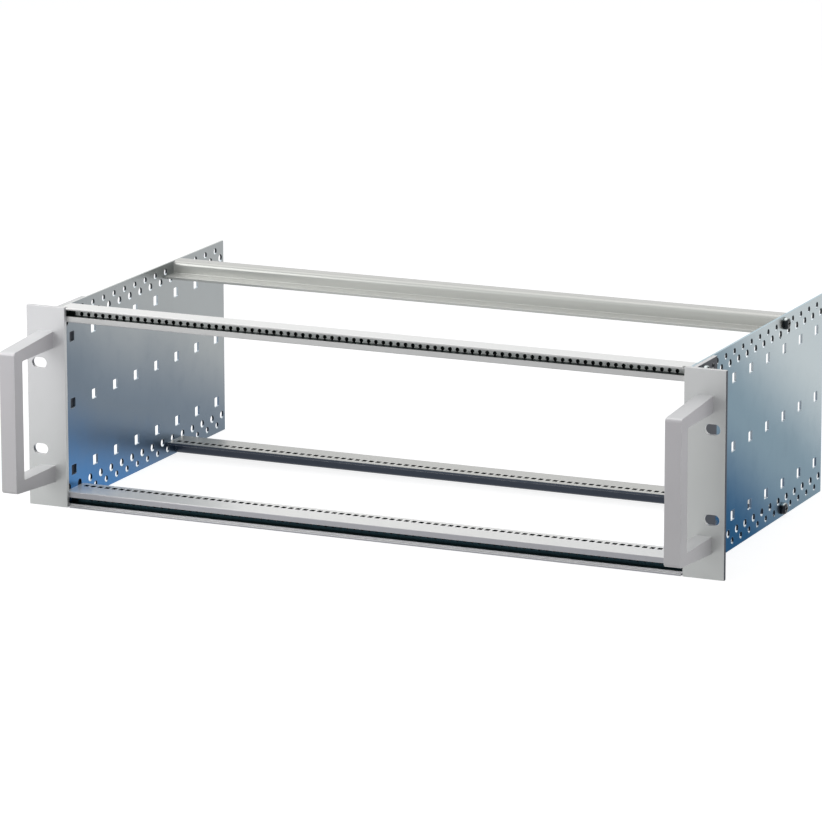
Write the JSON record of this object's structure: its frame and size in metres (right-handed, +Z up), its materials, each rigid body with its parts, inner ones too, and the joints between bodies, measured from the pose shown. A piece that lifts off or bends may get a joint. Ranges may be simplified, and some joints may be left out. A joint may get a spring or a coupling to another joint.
{
  "type": "subrack card cage",
  "caption": "Open card cage for plug-in circuit boards: perforated side panels, slotted module rails with threaded strips, angled rack flanges and bow handles.",
  "frame": {"origin": "centre of the four rack slots, on the rear face of the rack flanges", "axes": "+X to the right seen from the front, +Y from the handles to the rear, +Z up"},
  "size_m": [0.4826, 0.291, 0.1326],
  "materials": {
    "side_sheet": "zinc plated, bluish and glossy",
    "rail_aluminium": "satin extrusion",
    "flange_aluminium": "satin anodised",
    "handle_aluminium": "satin anodised",
    "strip_steel": "zinc plated",
    "screw_steel": "black zinc plated"
  },
  "bodies": {
    "root": {"side_panel_left": "side_sheet", "side_panel_right": "side_sheet", "rack_flange_left": "flange_aluminium", "rack_flange_right": "flange_aluminium", "handle_left": "handle_aluminium", "handle_right": "handle_aluminium", "front_rail_top": "rail_aluminium", "front_rail_bottom": "rail_aluminium", "rear_rail_top": "rail_aluminium", "rear_rail_bottom": "rail_aluminium", "threaded_strip_front_top": "strip_steel", "threaded_strip_front_bottom": "strip_steel", "threaded_strip_rear_top": "strip_steel", "threaded_strip_rear_bottom": "strip_steel", "rail_screws_front_left": "screw_steel", "rail_screws_front_right": "screw_steel", "rail_screws_rear_left": "screw_steel", "rail_screws_rear_right": "screw_steel", "handle_screws_left": "screw_steel", "handle_screws_right": "screw_steel"}
  },
  "joints": []
}
